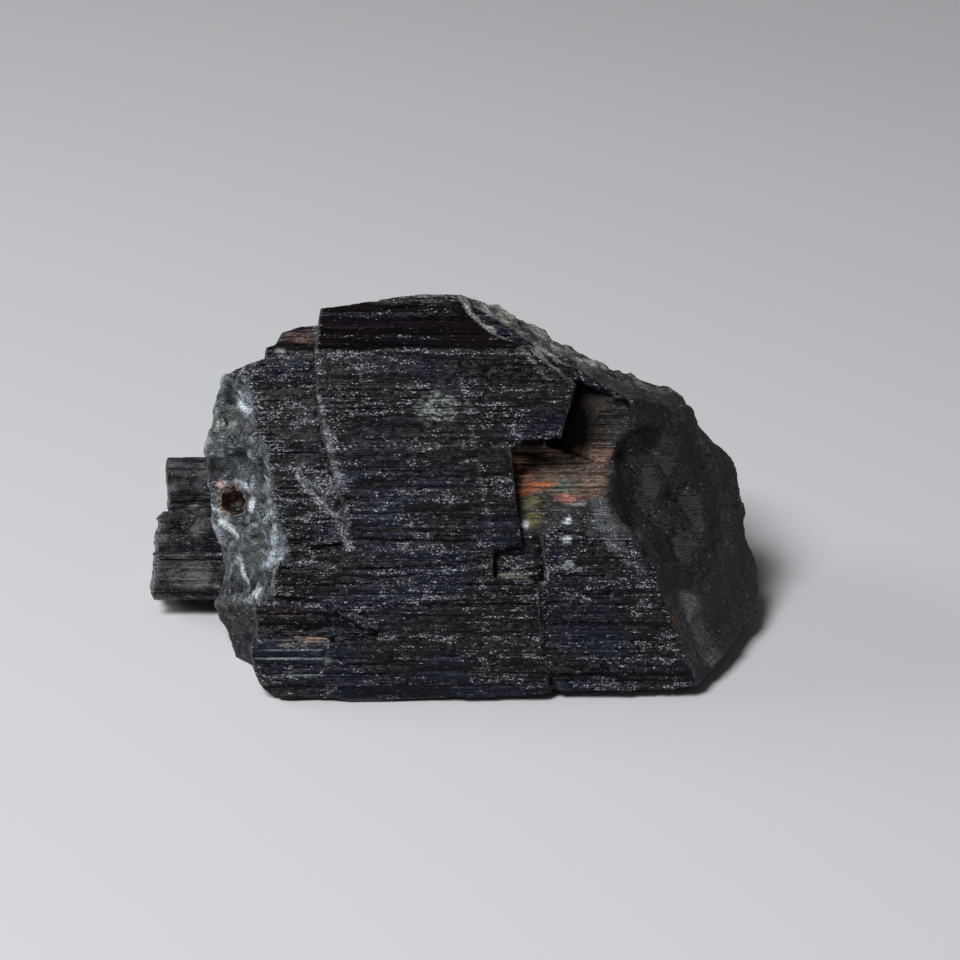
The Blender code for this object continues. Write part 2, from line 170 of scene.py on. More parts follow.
def corners_of(mesh):
    points = np.empty(len(mesh.vertices) * 3)
    mesh.vertices.foreach_get("co", points)
    return points.reshape(-1, 3)


def normals_of(mesh):
    found = np.empty(len(mesh.vertices) * 3)
    mesh.vertices.foreach_get("normal", found)
    return found.reshape(-1, 3)


def place(mesh, points):
    mesh.vertices.foreach_set("co", points.astype(np.float32).ravel())
    mesh.update()


def snapped(points, tree):
    """Each point moved to the nearest place on the solid."""
    return np.array([tree.find_nearest(point)[0] for point in points])


def height_over_ground(points):
    """How high each point lies over the ground, in mm."""
    return points[:, 2] * math.cos(LEAN) - points[:, 1] * math.sin(LEAN) + REST_SHIFT[2]


def seen_share(points, normals):
    """1 where the mesh stays fine, 0 on the back and underside."""
    forward = ramp(-normals[:, 1] + 0.75 * normals[:, 2], -0.35, 0.0)
    ends = ramp(np.abs(normals[:, 0]), 0.5, 0.8) * ramp(-points[:, 1], -24.0, -18.0)
    near = ramp(-points[:, 1], -27.0, -20.0)
    low = ramp(height_over_ground(points), 0.3, 0.8)
    return np.maximum(forward * near, ends) * low


def fine_mesh(solid):
    """An even mesh of the solid, coarser on the back and finer across the striations of the front."""
    shape = BVHTree.FromObject(solid, bpy.context.evaluated_depsgraph_get())
    remesh = solid.modifiers.new("even", "REMESH")
    remesh.mode = "VOXEL"
    remesh.voxel_size = VOXEL
    mesh = applied(solid)
    place(mesh, snapped(corners_of(mesh), shape))

    share = seen_share(corners_of(mesh), normals_of(mesh))
    group = solid.vertex_groups.new(name="back")
    for index in np.flatnonzero(share < 0.999):
        group.add([int(index)], 1.0 - float(share[index]), "REPLACE")
    decimate = solid.modifiers.new("coarser_back", "DECIMATE")
    back = float((share < 0.5).mean())
    decimate.ratio = 1.0 - back * (1.0 - BACK_SHARE)
    decimate.vertex_group = "back"
    decimate.vertex_group_factor = 10.0
    mesh = applied(solid)
    print("mesh faces after the back is made coarser:", len(mesh.polygons))
    return mesh, shape


def split_across_ribs(mesh):
    """Halves the faces of the striated front across the ribs, which are finer than they are long."""
    bm = bmesh.new()
    bm.from_mesh(mesh)
    bm.faces.ensure_lookup_table()

    def striated(face):
        middle = face.calc_center_median()
        forward = -face.normal.y + 0.5 * face.normal.z
        return abs(face.normal.x) < 0.35 and forward > 0.5 and middle.y < 12.0 and middle.x < 26.0

    chosen = {face for face in bm.faces if len(face.verts) == 4 and striated(face)}
    edges = []
    for edge in bm.edges:
        along = edge.verts[1].co - edge.verts[0].co
        if abs(along.x) < 0.5 * along.length and chosen.issuperset(edge.link_faces):
            edges.append(edge)
    bmesh.ops.subdivide_edges(bm, edges=edges, cuts=1, use_grid_fill=True)
    bm.to_mesh(mesh)
    bm.free()


def neighbour_mean(values, ends):
    """The mean of each point's neighbours along the mesh's edges."""
    total = np.zeros_like(values)
    count = np.zeros(len(values))
    for here, there in ((0, 1), (1, 0)):
        np.add.at(total, ends[:, here], values[ends[:, there]])
        np.add.at(count, ends[:, here], 1.0)
    return total / np.maximum(count, 1.0).reshape(-1, *([1] * (values.ndim - 1)))


def edges_of(mesh):
    ends = np.empty(len(mesh.edges) * 2, np.int64)
    mesh.edges.foreach_get("vertices", ends)
    return ends.reshape(-1, 2)


def sharpness(points, normals, ends, rounds=1):
    """How far each point stands out from its neighbours, in mm: above 0 on crests, below 0 in grooves."""
    out = np.einsum("ij,ij->i", points - neighbour_mean(points, ends), normals)
    for _ in range(rounds):
        out = 0.5 * out + 0.5 * neighbour_mean(out, ends)
    return out


# Where each kind of surface lies. Broken surfaces are given by a point and an outward normal, and rounded
# hollows by a centre and radii, as in the solid

BREAKS = {
    "right_end": ((23.5, 0.5, 3.0), (0.752, -0.608, 0.252)),
    "right_shoulder": ((24.6, 12.0, 33.4), (0.62, -0.35, 0.7)),
    "right_back": ((30.6, 20.0, 15.0), (0.86, 0.5, 0.12)),
    "left_end": ((-22.6, 1.9, 18.0), (-0.69, -0.7, -0.15)),
    "left_back": ((-29.6, 19.0, 22.0), (-0.9, 0.42, 0.12)),
    "top_slope": ((8.9, 0.2, 37.0), (0.458, -0.262, 0.849)),
}
RIGHT_HOLLOW = ((24.5, 0.5, 24.8), (11.0, 10.6, 10.2))
SHELLS = (
    ((-31.7, 2.8, 32.2), (6.0, 6.0, 5.8)),
    ((-30.8, 3.0, 22.8), (7.0, 7.0, 6.4)),
    ((-30.0, 2.5, 13.6), (5.6, 5.6, 6.2)),
)
END_PIT = ((-28.4, 9.8, 22.3), (1.7, 1.9, 1.9))
END_RIM = (  # where the big face ends at the left break, as (x, z)
    (-26.2, 11.2), (-25.5, 12.0), (-23.7, 15.4), (-23.1, 18.3), (-23.7, 21.3), (-24.0, 26.1),
    (-26.3, 32.0), (-27.0, 36.4),
)
POCKET_PIVOT = (10.0, 0.0, 36.2)  # the pocket's top edge dips from here
POCKET_DIP = math.radians(20.0)
PATCH_CENTRE = (-4.8, 0.0, 32.4)  # a bruise left by a knock on the big face
PATCH_RADIUS = 2.2


def on_break(name, points, normals):
    """1 on a broken surface, 0 elsewhere."""
    point, normal = BREAKS[name]
    out = np.array(normal) / np.linalg.norm(normal)
    off = np.abs((points - np.array(point)) @ out)
    return ramp(-off, -3.4, -2.2) * ramp(normals @ out, 0.55, 0.75)


def within(value, low, high, edge):
    """1 between low and high, 0 from edge outside them."""
    return ramp(value, low - edge, low) * ramp(-value, -high - edge, -high)


def reach(points, centre, radii):
    """The distance from a centre, as a share of the radii."""
    return np.linalg.norm((points - np.array(centre)) / np.array(radii), axis=1)


def facing_middle(centre, radii, points, normals):
    """How far each point faces the middle of a rounded hollow, from -1 to 1."""
    inwards = (np.array(centre) - points) / np.array(radii) ** 2
    return np.einsum("ij,ij->i", normals, inwards) / np.linalg.norm(inwards, axis=1)


def in_hollow(centre, radii, points, normals):
    """1 on the wall of a rounded hollow, 0 elsewhere."""
    facing = facing_middle(centre, radii, points, normals)
    return within(reach(points, centre, radii), 0.78, 1.14, 0.06) * ramp(facing, 0.25, 0.55)


def rims_between_shells(points):
    """0 in the hollow shells of a glassy break, up to 1 on the rims between them."""
    bent = points + 0.9 * np.stack([fractal(points, 3.2, 91 + axis, 2) for axis in range(3)], axis=1)
    return bowls(bent, 3.6, 94)


class Places:
    """How much each point belongs to each part of the stone, from 0 to 1."""

    def __init__(self, points, normals):
        x, y, z = points.T
        nx, ny, nz = normals.T
        self.above_ground = ramp(height_over_ground(points), 0.15, 0.9)
        away = reach(points, *RIGHT_HOLLOW)
        wall = np.maximum(ramp(np.abs(nx), 0.1, 0.3), ramp(y, 1.5, 2.5) * ramp(x, 17.4, 18.0))
        wall = np.maximum(ramp(-away, -1.35, -1.25) * wall, ramp(-away, -1.1, -1.02) * ramp(y, 1.5, 2.5))
        facing = facing_middle(*RIGHT_HOLLOW, points, normals)
        self.hollow = wall * ramp(facing, 0.0, 0.3) * ramp(x, 13.4, 14.8)
        self.hollow_rim = within(away, 1.0, 1.14, 0.1) * ramp(-x, -19.0, -17.5) * ramp(x, 12.5, 13.5)
        shells = [in_hollow(*shell, points, normals) for shell in SHELLS]
        shells.append(in_hollow(*END_PIT, points, normals))
        beyond_rim = np.interp(z, [point[1] for point in END_RIM], [point[0] for point in END_RIM]) - x
        shells.append(ramp(beyond_rim, 0.1, 0.5) * ramp(z, 10.9, 11.5) * ramp(-z, -37.0, -36.4))
        self.shells = np.max(shells, axis=0) * ramp(-y, -13.5, -12.0) * ramp(-x, 22.0, 22.5)
        self.slope = within(x, 4.2, 19.0, 1.0) * within(z, 17.8, 23.0, 0.9) * within(y, 0.75, 3.4, 0.3)
        ragged = z + 1.3 * fractal(points, 2.4, 111, 4)
        self.ledge = within(x, 2.9, 17.6, 0.5) * within(ragged, 23.0, 28.9, 0.5) * within(y, 1.5, 8.0, 0.5)
        self.ledge = self.ledge * (1.0 - self.hollow)
        dipped = z + math.tan(POCKET_DIP) * (x - POCKET_PIVOT[0])
        self.pocket = within(x, 4.0, 18.0, 1.0) * ramp(ragged, 28.4, 28.9) * ramp(-dipped, -36.0, -35.4)
        self.pocket = self.pocket * within(y, 2.6, 12.0, 0.7)
        self.pocket = self.pocket * ramp(-nz, -0.75, -0.6)
        self.recess = np.maximum(self.ledge, self.pocket)
        self.ribbed = (1.0 - ramp(np.abs(nx), 0.22, 0.45)) * self.above_ground
        self.ribbed = self.ribbed * (1.0 - self.slope) * (1.0 - self.hollow) * (1.0 - self.shells)
        self.breaks = {name: on_break(name, points, normals) * (1.0 - self.ribbed) for name in BREAKS}
        self.glassy = np.maximum(self.breaks["left_end"], self.shells) * ramp(z, 10.0, 11.5)
        self.rims = rims_between_shells(points)
        self.front = self.ribbed * ramp(-ny, 0.55, 0.8) * ramp(-y, -4.6, -3.6) * ramp(-z, -39.6, -39.0)
        self.bevel = self.ribbed * ramp(nz, 0.35, 0.55) * ramp(-ny, 0.3, 0.5) * ramp(z, 38.8, 39.3)
        self.bevel = self.bevel * ramp(-y, -7.5, -6.0)
        self.left_plate = self.front * ramp(-x, 15.0, 17.0) * ramp(z, 16.0, 17.5)
        self.side_crystal = ramp(-x, 31.2, 32.4)
        uneven = points + np.array((0.0, 0.12, 0.12)) * noise(points, (2.5, 1.5, 1.5), 86)[:, None]
        self.grooves = ramp(ridged(uneven, (45.0, 1.0, 1.0), 85), 0.5, 0.9) * self.ribbed
        self.turned_away = ramp(ny, -0.25, 0.25) * ramp(y, 3.0, 8.0)


# Relief, in mm


def worn_edges(points, edge):
    """Plate edges rounded off and nibbled away."""
    bites = noise(points, (1.6, 0.9, 0.9), 24) + 0.6 * noise(points, (0.7, 0.5, 0.5), 25)
    return -edge * (0.07 + 0.3 * ramp(bites, -0.1, 0.7))


def rib_relief(points, place):
    """Straight striations, and slim bars side by side whose ends make small steps."""
    fade = 0.6 + 0.4 * noise(points, (9.0, 2.0, 2.0), 10)
    ribs = 0.5 * ridged(points, (150.0, 1.3, 1.3), 11) + 0.6 * ridged(points, (90.0, 0.55, 0.55), 12)
    ribs += 0.3 * noise(points, (60.0, 0.3, 0.3), 13)
    stepped = 0.09 * bars(points, 2.3, 23.0, 14) + 0.06 * bars(points, 1.1, 9.0, 15) + 0.04 * bars(points, 0.5, 3.0, 16)
    foot = ramp(-points[:, 0], 16.5, 17.5) * ramp(-points[:, 2], -6.2, -5.4)
    relief = (0.1 + 0.12 * foot) * ribs * fade + stepped - 0.12 * place.grooves
    quiet = 1.0 - 0.7 * place.bevel
    return relief * place.ribbed * quiet


def chip_relief(points, place):
    """Small chips knocked out of the ribs."""
    dashes = noise(points, (1.4, 0.35, 0.35), 21)
    pits = noise(points, (0.5, 0.4, 0.4), 22)
    out = -0.1 * ramp(dashes, 0.5, 0.65) - 0.1 * ramp(pits, 0.55, 0.7)
    return out * place.ribbed * (1.0 - 0.7 * place.bevel)


def broken_relief(points, place):
    """Bowls of several sizes with sharp ridges between them, as stone breaks. Narrow walls get the least."""
    bent = points + 0.5 * np.stack([fractal(points, 2.2, 31 + axis, 3) for axis in range(3)], axis=1)
    wide = np.maximum(np.max(list(place.breaks.values()), axis=0), 0.35 * place.slope)
    relief = wide * (1.1 * bowls(bent, 5.5, 34) + 0.45 * bowls(bent, 2.3, 41) - 0.55)
    relief += (0.12 + 0.12 * wide) * (bowls(bent, 0.95, 47) - 0.4) + (0.08 + 0.15 * wide) * fractal(points, 1.2, 53, 3)
    relief *= 1.0 - 0.5 * np.maximum(place.breaks["right_end"], place.hollow)
    shells = 1.1 * (place.rims - 0.45) + 0.25 * (bowls(bent, 1.5, 57) - 0.4)
    relief += place.glassy * (shells - relief)
    return relief * (1.0 - place.ribbed) * place.above_ground


def shell_relief(points, place):
    """The shell-like ripples of the glassy break at the left end."""
    relief = np.zeros(len(points))
    for number, centre in enumerate(((-27.5, 3.0, 37.0), (-25.0, 2.0, 10.0))):
        away = np.linalg.norm(points - np.array(centre), axis=1)
        bent = away + 1.2 * fractal(points, 4.0, 61 + number, 2)
        relief += 0.07 * ramp(-away, -15.0, -9.0) * np.sin(bent * 4.6)
    return relief * place.glassy


def patch_relief(points, place):
    """A round bruise on the big face, crushed to grains."""
    away = np.linalg.norm((points - np.array(PATCH_CENTRE)) * (1.0, 0.0, 1.0), axis=1)
    inside = ramp(-away, -PATCH_RADIUS, -0.7 * PATCH_RADIUS) * place.front
    return inside * (-0.12 + 0.16 * noise(points, (0.45, 0.45, 0.45), 61))


def worked(points, normals, place, edge):
    relief = rib_relief(points, place) + chip_relief(points, place) + broken_relief(points, place)
    relief += worn_edges(points, edge) * place.above_ground
    relief += shell_relief(points, place) + patch_relief(points, place)
    moved = points + normals * relief[:, None]
    sunk = np.minimum(height_over_ground(moved), 0.0)
    moved[:, 2] -= sunk * math.cos(LEAN)
    moved[:, 1] += sunk * math.sin(LEAN)
    return moved


# Tones: linear colours, a finish (roughness) and a share of frost for each point: crushed white grains, and painted
# glints that stand in for sparkle

BLACK = np.array((0.0064, 0.0062, 0.0078))
BLUE_BLACK = np.array((0.0055, 0.0072, 0.0165))
RED_BLACK = np.array((0.0052, 0.0020, 0.0024))
GREEN_BLACK = np.array((0.0075, 0.0098, 0.0088))
DULL = np.array((0.022, 0.0225, 0.024))
GREY = np.array((0.070, 0.076, 0.080))
PALE = np.array((0.24, 0.26, 0.275))
GREY_GREEN = np.array((0.062, 0.070, 0.062))
BUFF = np.array((0.17, 0.145, 0.115))
BROWN = np.array((0.055, 0.037, 0.027))
ORANGE = np.array((0.42, 0.14, 0.055))
OLIVE = np.array((0.12, 0.105, 0.04))
ROSE = np.array((0.36, 0.15, 0.12))
GLASS_GREY = np.array((0.062, 0.071, 0.072))
GLASS_PALE = np.array((0.27, 0.31, 0.35))
GLINT_WHITE = np.array((0.60, 0.65, 0.71))


def mixed(colours, colour, share):
    return colours + (np.asarray(colour) - colours) * np.clip(share, 0.0, 1.0)[:, None]


def spot(points, centre, radii):
    """1 at the middle of a stain, 0 outside it."""
    return ramp(-np.linalg.norm((points - np.array(centre)) / np.array(radii), axis=1), -1.0, -0.35)


def near_path(points, path, width):
    """1 on a line that runs over the big face, 0 from width away. The path's points are (x, z) in mm."""
    flat = points[:, (0, 2)]
    away = np.full(len(points), 1e3)
    for start, end in zip(path, path[1:]):
        start = np.array(start)
        along = np.array(end) - start
        share = np.clip((flat - start) @ along / (along @ along), 0.0, 1.0)
        away = np.minimum(away, np.linalg.norm(flat - start - share[:, None] * along, axis=1))
    return ramp(-away, -width, -0.3 * width)


# Lines on the big face, as points (x, z) in mm
HIGH_SEAM = ((-18.8, 44.0), (-18.3, 34.5), (-16.9, 29.0))
LOW_SEAM = ((-17.2, 30.0), (-15.9, 25.0), (-15.2, 20.3), (-14.6, 17.2))
SCALE_EDGE = ((-20.6, 25.8), (-19.8, 24.0), (-18.2, 22.3), (-15.9, 20.3), (-15.1, 17.9))
GROWTH_LINE = ((-2.9, 38.0), (-1.2, 33.0), (-0.6, 28.0), (1.1, 20.0))
SHOULDER_LINE = ((4.6, 39.5), (7.6, 35.8))
LOW_LINE = ((-24.5, 10.9), (-18.0, 10.8), (-12.8, 7.6), (-9.0, 7.3))
BEVEL_LINES = (((-17.6, 40.9), (4.0, 40.6)), ((-17.6, 43.4), (-1.0, 43.0)))
CRACK = ((6.2, 18.4), (6.9, 13.0), (6.95, 7.0), (8.0, 0.5))
NOTCH_STREAK = ((2.3, 13.9), (5.2, 13.8))
WARM_STREAKS = (((-20.6, 7.0), (-17.2, 6.9)), ((-19.8, 6.6), (-17.4, 6.5)))
PALE_STREAK = ((-22.8, 6.1), (-17.6, 6.1))
END_STREAK = ((23.8, 11.4), (24.6, 8.4), (26.4, 4.4))

# Painted highlights along the broken edges of the glassy end, as points (x, z) in mm
HIGH_GLINT = ((-27.4, 34.6), (-27.2, 33.2), (-26.5, 32.2))
PIT_RIM_GLINT = ((-28.0, 24.8), (-26.9, 24.2), (-26.3, 22.6), (-26.6, 21.4))
LOW_GLINTS = (((-30.6, 21.6), (-29.8, 19.8), (-28.2, 18.2)), ((-28.0, 15.6), (-27.0, 13.4), (-25.5, 11.6)))


def frost_and_glint_share(points, place, sharp):
    """How crushed each point is, and so how many painted glints it gets, from 0 to 1: along seams, on crests and in
    scattered clusters.
    """
    x, y, z = points.T
    clouds = 0.2 * noise(points, (5.0, 2.2, 2.2), 76) + 0.42 * noise(points, (2.2, 1.1, 1.1), 78)
    clouds += 0.6 * noise(points, (1.3, 0.45, 0.45), 87)
    uneven = 0.6 + 0.5 * noise(points, (1.3, 1.3, 1.3), 79)
    frost_and_glints = 0.08 + 0.42 * ramp(clouds, -0.1, 0.6) + 0.28 * ramp(sharp, 0.012, 0.06) * uneven
    on_face = ramp(-y, -9.0, -7.0)
    for path, width, share in (
        (HIGH_SEAM, 0.6, 0.3),
        (LOW_SEAM, 1.2, 0.6),
        (SCALE_EDGE, 0.7, 0.7),
        (GROWTH_LINE, 0.7, 0.25),
        (SHOULDER_LINE, 0.6, 0.4),
        (LOW_LINE, 0.5, 0.25),
        (END_RIM, 1.3, 0.35),
    ):
        frost_and_glints += share * near_path(points, path, width) * uneven * on_face
    for centre, radii, share in (
        ((-17.5, 1.0, 23.6), (2.4, 3.0, 3.4), 0.45),
        ((-13.0, 0.0, 36.8), (2.0, 3.0, 1.2), 0.35),
        ((4.3, 0.0, 30.2), (1.3, 3.0, 1.4), 0.4),
        ((-5.3, 0.0, 28.0), (1.7, 3.0, 0.9), 0.3),
        ((9.6, 1.5, 20.2), (1.3, 3.0, 1.0), 0.45),
        ((11.8, 0.5, 18.0), (2.2, 2.0, 0.6), 0.4),
        ((9.9, 0.5, 15.1), (0.9, 2.0, 0.5), 0.6),
        ((20.5, 0.5, 14.6), (3.4, 3.0, 4.6), 0.2),
    ):
        frost_and_glints += share * spot(points, centre, radii) * uneven
    frost_and_glints += 0.04 * place.left_plate * uneven - 0.06 * place.slope - 0.05 * ramp(-z, -14.0, -9.0)
    frost_and_glints += 0.15 * within(z, 38.7, 39.2, 0.15) * place.ribbed * ramp(-y, -4.0, -2.0)
    frost_and_glints += 0.35 * ramp(z, 44.0, 45.0) * ramp(-y, -9.0, -8.0) * uneven
    frost_and_glints -= 0.24 * place.bevel + 0.3 * place.grooves
    for path in BEVEL_LINES:
        frost_and_glints += 0.22 * near_path(points, path, 0.3) * place.bevel
    away = np.linalg.norm((points - np.array(PATCH_CENTRE)) * (0.8, 0.0, 1.0), axis=1)
    away = away + 0.7 * noise(points, (1.2, 1.2, 1.2), 81)
    frost_and_glints += 0.35 * ramp(-away, -PATCH_RADIUS * 1.1, -PATCH_RADIUS * 0.3) * place.front
    frost_and_glints += 0.3 * place.hollow_rim * uneven
    lines = ramp(ridged(points, (40.0, 0.7, 0.7), 82), 0.45, 0.8)
    frost_and_glints += 0.5 * lines * spot(points, (-20.5, 0.5, 4.0), (5.5, 3.0, 3.4)) + 0.1 * lines * place.front
    frost_and_glints += 0.3 * np.maximum(place.breaks["top_slope"], place.breaks["right_shoulder"]) * uneven
    frost_and_glints *= 1.0 - 0.6 * near_path(points, CRACK, 0.7) * ramp(y, 0.5, 0.8)
    frost_and_glints *= 1.0 - 0.8 * spot(points, (-21.5, 0.9, 9.0), (5.0, 3.0, 2.3))
    frost_and_glints *= 1.0 - 0.6 * place.turned_away
    frost_and_glints *= 1.0 - 0.45 * (1.0 - place.ribbed) * (1.0 - place.hollow_rim)
    soft = np.maximum(np.maximum(place.hollow, place.breaks["right_end"]), place.side_crystal)
    return np.clip(frost_and_glints * (1.0 - 0.7 * place.recess) * (1.0 - 0.75 * soft), 0.0, 1.0)


def toned(points, place, sharp):
    """The colour and the finish of each point."""
    x, y, z = points.T
    drift = noise(points, (9.0, 4.0, 4.0), 71)
    hue = noise(points, (6.0, 3.0, 3.0), 72)
    grain = fractal(points, 1.6, 73, 4)
    coarse = fractal(points, 4.5, 83, 3)
    crest = ramp(sharp, 0.008, 0.05)
    bent = points + 0.7 * np.stack([fractal(points, 2.4, 101 + axis, 2) for axis in range(3)], axis=1)
    tone = np.tile(BLACK, (len(points), 1))
    tone = mixed(tone, BLUE_BLACK * 1.2, ramp(hue, -0.1, 0.4) * 0.8)
    tone = mixed(tone, GREEN_BLACK, ramp(-hue, 0.35, 0.7) * 0.6)
    tone = mixed(tone, BLUE_BLACK * 1.3, spot(points, (-11.0, 0.0, 22.5), (8.0, 5.0, 9.0)) * (0.8 + 0.5 * hue))
    tone = mixed(tone, RED_BLACK * 1.5, spot(points, (3.4, 0.0, 37.2), (4.0, 3.0, 2.4)) * 0.8)
    tone = mixed(tone, RED_BLACK, place.bevel * (0.8 + 0.4 * drift))
    each = 0.5 * bars(points, 1.1, 9.0, 15) + 0.5 * bars(points, 0.5, 3.0, 16)
    tone = tone * (1.0 + 0.25 * each * place.ribbed)[:, None]
    finish = 0.34 + 0.08 * drift + 0.05 * each - 0.15 * place.bevel

    broken = 1.0 - place.ribbed
    tone = mixed(tone, DULL, broken * 0.9)
    tone = mixed(tone, GREY, broken * (ramp(grain, 0.0, 0.5) * 0.4 + 0.4 * crest))
    finish = finish + broken * 0.2

    slope = np.maximum(place.breaks["top_slope"], 0.8 * place.breaks["right_shoulder"])
    tone = mixed(tone, GREY_GREEN * 1.8, slope * (0.8 + 0.8 * grain))
    tone = mixed(tone, PALE * (1.35, 1.24, 1.05), slope * ramp(grain + 0.7 * coarse, -0.05, 0.3) * 0.9)
    tone = mixed(tone, BUFF * 0.25, slope * ramp(x + 3.0 * coarse, 13.0, 21.0) * 0.75)
    tone = mixed(tone, DULL, slope * ramp(-coarse, 0.14, 0.35) * 0.8)
    tone = mixed(tone, GREY * 1.3, place.hollow_rim * ramp(grain, -0.3, 0.3) * 0.8)
    ridge = ramp(z, 44.3, 45.2) * ramp(-y, -9.5, -8.5)
    tone = mixed(tone, GREY_GREEN * 0.6, ridge * ramp(grain, -0.1, 0.25))

    dull_end = np.maximum(place.breaks["right_end"], place.breaks["right_back"])
    tone = mixed(tone, DULL * (1.5, 1.42, 1.45), dull_end * (0.8 + coarse))
    tone = mixed(tone, DULL * 0.9, place.hollow * (0.9 - 0.5 * coarse))
    tone = mixed(tone, DULL * 0.8, place.hollow * ramp(coarse, 0.05, 0.5) * 0.8)
    finish = finish + 0.12 * np.maximum(dull_end, place.hollow)
    ends = noise(points, (0.5, 1.5, 3.0), 80)
    tone = mixed(tone, GREY_GREEN * 1.2, spot(points, (17.6, 3.0, 19.6), (2.4, 4.0, 3.2)) * ramp(ends, 0.0, 0.5))
    tone = mixed(tone, GREY_GREEN * 1.4, near_path(bent, END_STREAK, 1.4) * ramp(grain + coarse, -0.5, 0.4) * 0.8)
    tone = mixed(tone, ORANGE * 0.35, spot(points, (21.9, 1.0, 8.9), (0.5, 2.0, 0.8)) * ramp(grain, -0.3, 0.1))

    glassy = place.glassy
    rim = ramp(place.rims + 0.35 * grain, 0.6, 0.86)
    threads = np.maximum(ridged(bent, (2.2, 3.0, 4.0), 104), ridged(bent, (1.2, 1.6, 2.0), 105) - 0.1)
    threads = ramp(threads, 0.72, 0.96) * ramp(grain + coarse, -0.35, 0.35)
    tone = mixed(tone, GLASS_GREY, glassy * 0.9)
    tone = mixed(tone, BLACK * 2.0, glassy * ramp(-coarse - 0.5 * grain, 0.12, 0.5) * 0.7)
    tone = mixed(tone, GLASS_PALE, glassy * (rim * 0.5 + 0.25 * crest + 0.75 * threads))
    finish = finish - 0.3 * glassy
    tone = mixed(tone, BROWN * 1.3, place.side_crystal * ramp(coarse, -0.2, 0.3) * 0.6)
    tone = mixed(tone, GREY * 1.3, place.side_crystal * ramp(grain + coarse, -0.4, 0.4) * 0.8)
    # Painted shade: a black spot where a pit in the side crystal would be in shade
    tone = mixed(tone, BLACK, spot(points, (-35.0, 17.0, 20.2), (2.4, 3.0, 1.7)) * 0.9)
    # Painted glints on the side crystal
    for centre in ((-33.2, 17.5, 11.9), (-31.2, 17.5, 11.9), (-34.0, 17.5, 21.3)):
        tone = mixed(tone, PALE * 1.2, spot(bent, centre, (0.8, 3.0, 0.45)) * ramp(grain, -0.3, 0.3))

    streaks = noise(points, (5.0, 0.7, 0.7), 77)
    tone = mixed(tone, BROWN * 2.0, place.ledge * (0.9 + 0.8 * grain))
    # Painted light: the upper ledge lies in the shadow of the plate above, so its colour there is made much paler than
    # the stain to look lit
    tone = mixed(tone, (BROWN + 0.2 * ROSE) * 2.6, place.ledge * ramp(z, 25.0, 26.0) * ramp(streaks, -0.5, 0.2))
    painted_light_in_shadow = place.ledge * ramp(z, 25.2, 26.2) * ramp(-x, -12.5, -10.0)
    tone = mixed(tone, BUFF * 3.0 + ORANGE * 0.7, painted_light_in_shadow * ramp(streaks + grain, -0.6, 0.3))
    tone = mixed(tone, BROWN * 0.45, place.pocket * (0.9 + 0.8 * grain))
    tone = mixed(tone, BUFF * 0.6, place.ledge * ramp(streaks, 0.0, 0.6) * 0.6)
    right_pocket = place.pocket * ramp(x, 9.5, 15.0)
    tone = mixed(tone, BROWN * 0.6, right_pocket * ramp(streaks, -0.5, 0.3))
    tone = mixed(tone, GREY_GREEN * 0.5, right_pocket * ramp(x + 2.0 * grain, 12.0, 17.0) * 0.8)
    for centre, radii, colour in (
        ((10.4, 4.0, 26.0), (3.8, 4.0, 2.2), BUFF * 0.9),
        ((9.3, 3.0, 24.2), (1.8, 3.0, 1.3), GREY_GREEN * 1.5),
        ((12.6, 3.0, 24.7), (2.4, 3.0, 1.4), BUFF * 0.7 + ROSE * 0.25),
        ((5.2, 4.0, 25.9), (2.6, 3.0, 1.3), BUFF * 0.5 + ORANGE * 0.4),
        ((6.4, 3.4, 24.4), (2.5, 3.0, 1.1), ORANGE * 0.75),
        ((4.6, 3.0, 23.7), (1.8, 3.0, 0.9), ORANGE * 0.5),
        ((5.7, 1.8, 21.2), (2.2, 2.5, 2.6), OLIVE),
        ((10.4, 2.2, 22.6), (2.7, 2.5, 0.8), ROSE * 0.9),
        ((5.4, 1.4, 19.6), (0.7, 2.0, 0.6), PALE * 1.3),
        ((11.2, 2.2, 22.2), (1.3, 2.5, 0.4), PALE * 1.3),
        ((16.2, 4.0, 27.4), (1.6, 4.0, 3.4), GREY_GREEN * 1.3),
    ):
        stain = spot(bent, centre, radii)
        tone = mixed(tone, colour, stain * ramp(0.6 * streaks + 0.6 * grain, -0.6, 0.1))
    finish = finish + 0.12 * place.recess

    step_top = spot(points, (-20.4, 8.0, 41.0), (2.8, 6.0, 1.3))
    tone = mixed(tone, (BUFF + ROSE) * 0.3, step_top * ramp(grain, -0.4, 0.1))
    # Painted glint on the end of the step
    tone = mixed(tone, PALE, spot(points, (-22.8, 6.5, 39.2), (1.0, 3.0, 0.6)))

    near_pit = reach(points, *END_PIT)
    tone = mixed(tone, BROWN * 4.0, ramp(-near_pit, -1.2, -1.0) * 0.9)
    broken_up = ramp(grain + 0.5 * coarse, -0.35, 0.15)
    # Painted highlights: glassy white lines along the broken edges of the glassy end
    for path, width in ((HIGH_GLINT, 0.45), (PIT_RIM_GLINT, 0.4), (LOW_GLINTS[0], 0.4), (LOW_GLINTS[1], 0.32)):
        tone = mixed(tone, GLINT_WHITE, near_path(bent, path, width) * broken_up * glassy * 0.9)
    rim_line = near_path(bent, END_RIM, 0.55) * ramp(-y, -9.0, -7.0)
    tone = mixed(tone, GLASS_PALE * 1.2, rim_line * ramp(grain + 0.5 * coarse, -0.2, 0.3) * 0.9)
    # Painted glint by the pit, pale with a little orange
    tone = mixed(tone, ORANGE * 0.5 + PALE, spot(points, (-29.8, 9.0, 24.1), (0.7, 3.0, 0.6)))

